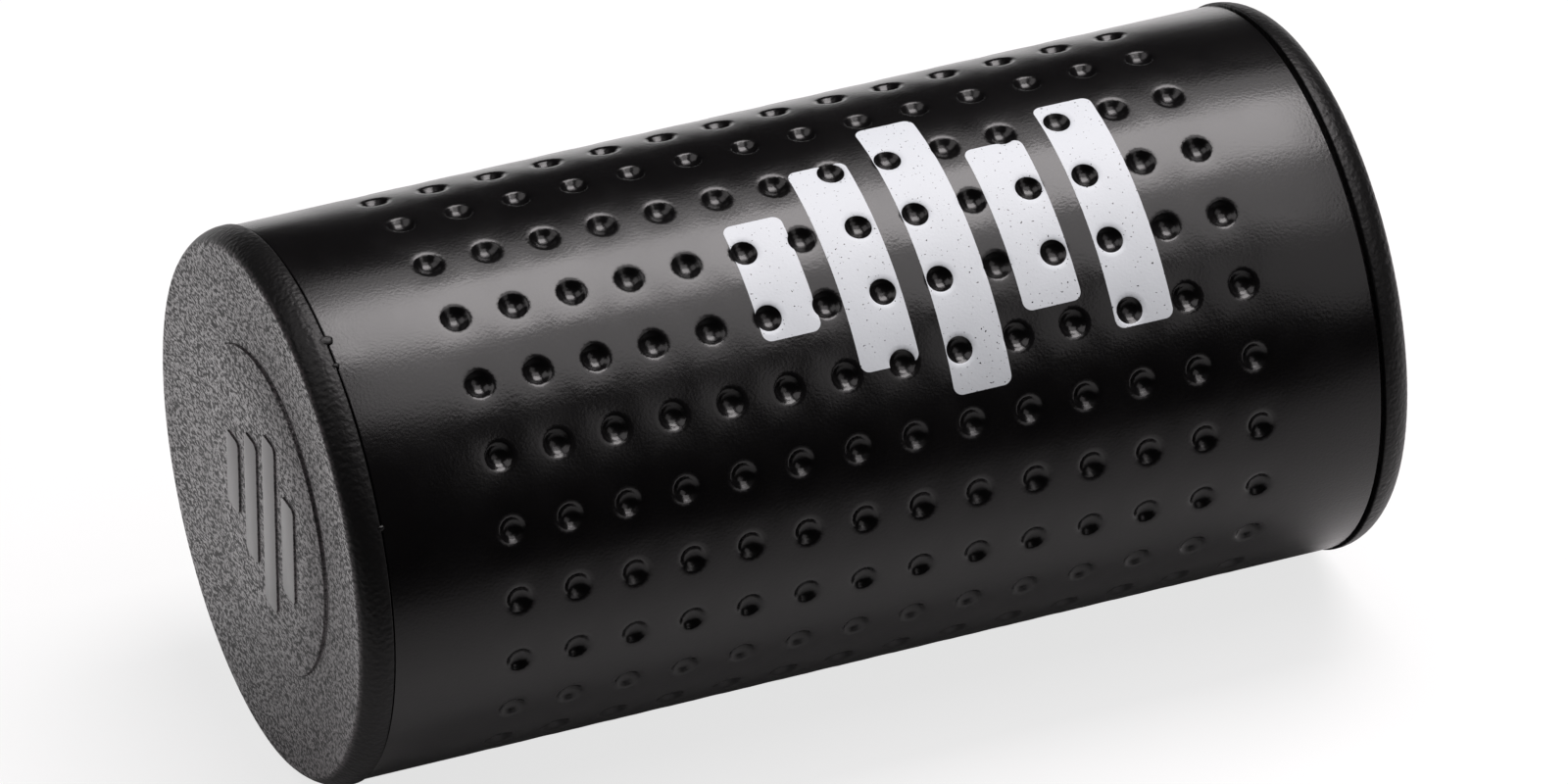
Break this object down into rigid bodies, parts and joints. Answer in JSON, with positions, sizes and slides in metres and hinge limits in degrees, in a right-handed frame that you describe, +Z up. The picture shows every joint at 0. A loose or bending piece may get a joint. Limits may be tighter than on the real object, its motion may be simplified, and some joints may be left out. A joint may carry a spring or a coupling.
{
  "type": "percussion shaker",
  "caption": "Cylindrical hand shaker: a dimpled satin black metal tube with grained plastic end caps, holding loose steel shot that rolls round the inside of the wall.",
  "frame": {"origin": "the middle of the tube, on its axis", "axes": "+X along the tube to the right-hand cap, +Z up with the shaker lying on its side, -Y towards the front"},
  "size_m": [0.1198, 0.0604, 0.0604],
  "materials": {
    "painted_tube": "satin black paint on pressed sheet steel",
    "grained_plastic": "black moulded plastic with a coarse leather-like grain",
    "steel_shot": "bright tumbled steel"
  },
  "bodies": {
    "shell": {"dimpled_tube": "painted_tube", "left_cap": "grained_plastic", "right_cap": "grained_plastic"},
    "shot_01": {"shot_01": "steel_shot"},
    "shot_02": {"shot_02": "steel_shot"},
    "shot_03": {"shot_03": "steel_shot"},
    "shot_04": {"shot_04": "steel_shot"},
    "shot_05": {"shot_05": "steel_shot"},
    "shot_06": {"shot_06": "steel_shot"},
    "shot_07": {"shot_07": "steel_shot"},
    "shot_08": {"shot_08": "steel_shot"},
    "shot_09": {"shot_09": "steel_shot"},
    "shot_10": {"shot_10": "steel_shot"},
    "shot_11": {"shot_11": "steel_shot"},
    "shot_12": {"shot_12": "steel_shot"},
    "shot_13": {"shot_13": "steel_shot"},
    "shot_14": {"shot_14": "steel_shot"},
    "shot_15": {"shot_15": "steel_shot"},
    "shot_16": {"shot_16": "steel_shot"},
    "shot_17": {"shot_17": "steel_shot"},
    "shot_18": {"shot_18": "steel_shot"},
    "shot_19": {"shot_19": "steel_shot"},
    "shot_20": {"shot_20": "steel_shot"},
    "shot_21": {"shot_21": "steel_shot"},
    "shot_22": {"shot_22": "steel_shot"},
    "shot_23": {"shot_23": "steel_shot"},
    "shot_24": {"shot_24": "steel_shot"},
    "shot_25": {"shot_25": "steel_shot"},
    "shot_26": {"shot_26": "steel_shot"},
    "shot_27": {"shot_27": "steel_shot"},
    "shot_28": {"shot_28": "steel_shot"},
    "shot_29": {"shot_29": "steel_shot"}
  },
  "joints": [
    {"name": "shot_01_roll", "type": "hinge", "parent": "shell", "child": "shot_01", "pos_m": [0, 0, 0], "axis": [1, 0, 0], "continuous": true},
    {"name": "shot_02_roll", "type": "hinge", "parent": "shell", "child": "shot_02", "pos_m": [0, 0, 0], "axis": [1, 0, 0], "continuous": true},
    {"name": "shot_03_roll", "type": "hinge", "parent": "shell", "child": "shot_03", "pos_m": [0, 0, 0], "axis": [1, 0, 0], "continuous": true},
    {"name": "shot_04_roll", "type": "hinge", "parent": "shell", "child": "shot_04", "pos_m": [0, 0, 0], "axis": [1, 0, 0], "continuous": true},
    {"name": "shot_05_roll", "type": "hinge", "parent": "shell", "child": "shot_05", "pos_m": [0, 0, 0], "axis": [1, 0, 0], "continuous": true},
    {"name": "shot_06_roll", "type": "hinge", "parent": "shell", "child": "shot_06", "pos_m": [0, 0, 0], "axis": [1, 0, 0], "continuous": true},
    {"name": "shot_07_roll", "type": "hinge", "parent": "shell", "child": "shot_07", "pos_m": [0, 0, 0], "axis": [1, 0, 0], "continuous": true},
    {"name": "shot_08_roll", "type": "hinge", "parent": "shell", "child": "shot_08", "pos_m": [0, 0, 0], "axis": [1, 0, 0], "continuous": true},
    {"name": "shot_09_roll", "type": "hinge", "parent": "shell", "child": "shot_09", "pos_m": [0, 0, 0], "axis": [1, 0, 0], "continuous": true},
    {"name": "shot_10_roll", "type": "hinge", "parent": "shell", "child": "shot_10", "pos_m": [0, 0, 0], "axis": [1, 0, 0], "continuous": true},
    {"name": "shot_11_roll", "type": "hinge", "parent": "shell", "child": "shot_11", "pos_m": [0, 0, 0], "axis": [1, 0, 0], "continuous": true},
    {"name": "shot_12_roll", "type": "hinge", "parent": "shell", "child": "shot_12", "pos_m": [0, 0, 0], "axis": [1, 0, 0], "continuous": true},
    {"name": "shot_13_roll", "type": "hinge", "parent": "shell", "child": "shot_13", "pos_m": [0, 0, 0], "axis": [1, 0, 0], "continuous": true},
    {"name": "shot_14_roll", "type": "hinge", "parent": "shell", "child": "shot_14", "pos_m": [0, 0, 0], "axis": [1, 0, 0], "continuous": true},
    {"name": "shot_15_roll", "type": "hinge", "parent": "shell", "child": "shot_15", "pos_m": [0, 0, 0], "axis": [1, 0, 0], "continuous": true},
    {"name": "shot_16_roll", "type": "hinge", "parent": "shell", "child": "shot_16", "pos_m": [0, 0, 0], "axis": [1, 0, 0], "continuous": true},
    {"name": "shot_17_roll", "type": "hinge", "parent": "shell", "child": "shot_17", "pos_m": [0, 0, 0], "axis": [1, 0, 0], "continuous": true},
    {"name": "shot_18_roll", "type": "hinge", "parent": "shell", "child": "shot_18", "pos_m": [0, 0, 0], "axis": [1, 0, 0], "continuous": true},
    {"name": "shot_19_roll", "type": "hinge", "parent": "shell", "child": "shot_19", "pos_m": [0, 0, 0], "axis": [1, 0, 0], "continuous": true},
    {"name": "shot_20_roll", "type": "hinge", "parent": "shell", "child": "shot_20", "pos_m": [0, 0, 0], "axis": [1, 0, 0], "continuous": true},
    {"name": "shot_21_roll", "type": "hinge", "parent": "shell", "child": "shot_21", "pos_m": [0, 0, 0], "axis": [1, 0, 0], "continuous": true},
    {"name": "shot_22_roll", "type": "hinge", "parent": "shell", "child": "shot_22", "pos_m": [0, 0, 0], "axis": [1, 0, 0], "continuous": true},
    {"name": "shot_23_roll", "type": "hinge", "parent": "shell", "child": "shot_23", "pos_m": [0, 0, 0], "axis": [1, 0, 0], "continuous": true},
    {"name": "shot_24_roll", "type": "hinge", "parent": "shell", "child": "shot_24", "pos_m": [0, 0, 0], "axis": [1, 0, 0], "continuous": true},
    {"name": "shot_25_roll", "type": "hinge", "parent": "shell", "child": "shot_25", "pos_m": [0, 0, 0], "axis": [1, 0, 0], "continuous": true},
    {"name": "shot_26_roll", "type": "hinge", "parent": "shell", "child": "shot_26", "pos_m": [0, 0, 0], "axis": [1, 0, 0], "continuous": true},
    {"name": "shot_27_roll", "type": "hinge", "parent": "shell", "child": "shot_27", "pos_m": [0, 0, 0], "axis": [1, 0, 0], "continuous": true},
    {"name": "shot_28_roll", "type": "hinge", "parent": "shell", "child": "shot_28", "pos_m": [0, 0, 0], "axis": [1, 0, 0], "continuous": true},
    {"name": "shot_29_roll", "type": "hinge", "parent": "shell", "child": "shot_29", "pos_m": [0, 0, 0], "axis": [1, 0, 0], "continuous": true}
  ]
}
